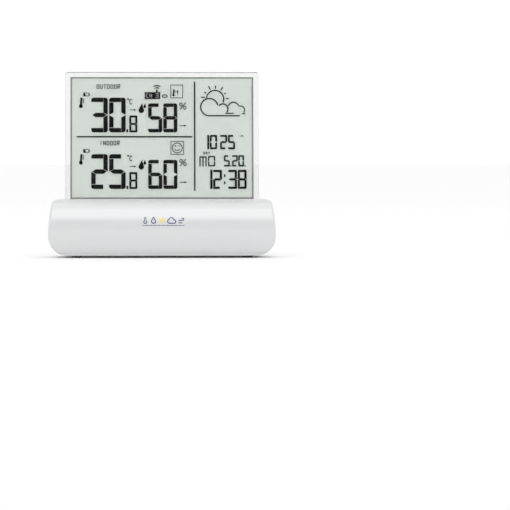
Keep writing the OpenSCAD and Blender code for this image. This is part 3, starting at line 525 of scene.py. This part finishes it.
def thermometer(x, z):
    tube, head = 0.48, z + 1.6
    stem = [(x - tube, z - 0.3), (x - tube, head)] + arc(x, head, tube, 180, 0, 8) + [(x + tube, z - 0.3)]
    return [(arc(x, z - 1.2, 0.95, 120, 420, 18), BOLD), (stem, MEDIUM)]


def drop(x, z):
    return [(arc(x, z - 0.7, 1.35, 150, 390, 18) + [(x, z + 2.1), (x - 1.17, z - 0.02)], BOLD)]


def cloud(x, z):
    left = arc(x - 1.5, z - 0.7, 1.3, 90, 270, 12)
    right = [(x + 1.5, z - 2)] + arc(x + 1.5, z - 0.85, 1.15, -90, 100, 12)
    return [(left + right + arc(x - 0.3, z + 0.2, 1.6, 25, 160, 12), BOLD)]


def wind(x, z):
    breeze = [(x - 1.3, z - 1.7), (x + 1.3, z - 1.7)]
    curl = [(x - 1.3, z - 0.1), (x + 1.5, z - 0.1)] + arc(x + 1.5, z + 0.65, 0.75, -90, 150, 12)
    return [(breeze, BOLD), (curl, BOLD)]


def rule(left, right, z, ticks=11):
    """A thin line with short even ticks."""
    pitch = (right - left) / (ticks - 1)
    marks = [left + pitch * k for k in range(ticks)]
    return [([(left, z), (right, z)], 0.3)] + [([(x, z), (x, z + 0.55)], 0.26) for x in marks]


def sun(x, z, rays=8):
    strokes = [(arc(x, z, 0.85, 0, 360, 18), 0.9)]
    for k in range(rays):
        turn = 2 * math.pi * k / rays
        strokes.append(([(x + r * math.cos(turn), z + r * math.sin(turn)) for r in (1.6, 2.25)], MEDIUM))
    return strokes


def printed(name, strokes, look):
    """Strokes as one piece; each is a little thicker than the last, so that no two faces coincide."""
    bm = bmesh.new()
    for i, (path, width) in enumerate(strokes):
        ink_stroke(bm, path, width, 0.012 + 0.001 * (i % 6))
    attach(new_object(name, finished_mesh(bm, name), look), "base")


def front_mark():
    """A row of plain weather pictograms over a thin rule."""
    z = 25.6
    navy = Mat("mark_navy", (0.035, 0.03, 0.16), 0.35).vary_color(900, 0.12).vary_rough(700, 0.05)
    amber = Mat("mark_amber", (0.80, 0.66, 0.08), 0.35).vary_color(900, 0.1).vary_rough(700, 0.05)
    pictograms = thermometer(-11.4, z) + drop(-5.8, z) + cloud(6.5, z) + wind(12.3, z)
    printed("front_mark", pictograms + rule(-12.9, 14.8, z - 3.5), navy)
    printed("front_mark_sun", sun(-0.2, z), amber)


front_mark()


# ---------- floor, light and camera ----------

def floor():
    bm = bmesh.new()
    bmesh.ops.create_circle(bm, cap_ends=True, segments=96, radius=14)
    me = bpy.data.meshes.new("floor")
    bm.to_mesh(me)
    bm.free()
    paper = Mat("floor_paper", (0.92, 0.92, 0.92), 0.9).bump(300, 0.00005, 0.1)
    new_object("floor", me, paper)


def look_from(o, place, aim):
    o.location = place
    o.rotation_euler = (Vector(aim) - Vector(place)).to_track_quat("-Z", "Y").to_euler()


def soft_box(name, place, aim, size, watts, glossy_only=False):
    """A rectangular light that shows only in reflections, or only outside them."""
    light = bpy.data.lights.new(name, "AREA")
    light.shape = "RECTANGLE"
    light.size, light.size_y = size
    light.energy = watts
    o = bpy.data.objects.new(name, light)
    scene.collection.objects.link(o)
    look_from(o, place, aim)
    o.visible_diffuse = not glossy_only
    o.visible_transmission = not glossy_only
    o.visible_glossy = glossy_only
    o.visible_camera = False


def dark_card():
    """A black flag in front of the station, so that the display's windows reflect nothing bright."""
    half, foot, head, away = 3, -0.5, 1.72, 2.8
    me = bpy.data.meshes.new("dark_card")
    corners = [(-half, foot), (half, foot), (half, head), (-half, head)]
    me.from_pydata([(x, -away, z) for x, z in corners], [], [(0, 1, 2, 3)])
    o = new_object("dark_card", me, Mat("card_black", (0.004, 0.004, 0.004), 1.0, Specular_IOR_Level=0.0))
    o.visible_camera = False
    o.visible_diffuse = False
    o.visible_shadow = False


floor()
dark_card()
soft_box("top_box", (0, -0.35, 1.5), (0, 0, 0.05), (2.2, 1.5), 1.5)
soft_box("sheen_box", (0, -0.75, 1.35), (0, 0, 0.03), (2.6, 1.35), 18, glossy_only=True)
soft_box("sheen_overhead", (0, -0.2, 1.5), (0, 0, 0.03), (2.6, 2.2), 22, glossy_only=True)
soft_box("low_fill", (0, -1.1, 0.075), (0, 0, 0.01), (1.6, 0.12), 1.9)

world = bpy.data.worlds.new("studio")
scene.world = world
world.use_nodes = True
world.node_tree.nodes["Background"].inputs["Color"].default_value = (1, 1, 1, 1)
world.node_tree.nodes["Background"].inputs["Strength"].default_value = 1.05
scene.view_settings.view_transform = "Standard"


def add_camera():
    """A long lens from a little above the table, with the station in the upper left of the frame."""
    field = 0.3484  # metres across the frame at the station
    rise = math.radians(2.3)
    aim = Vector((0.0634, 0.0, 0.0012))
    camera = bpy.data.cameras.new("camera")
    camera.lens = 180
    camera.sensor_width = 36
    camera.clip_start = 0.05
    camera.clip_end = 60
    o = bpy.data.objects.new("camera", camera)
    scene.collection.objects.link(o)
    distance = field * camera.lens / camera.sensor_width
    look_from(o, (0, -distance * math.cos(rise), aim.z + distance * math.sin(rise)), aim)
    scene.camera = o


add_camera()
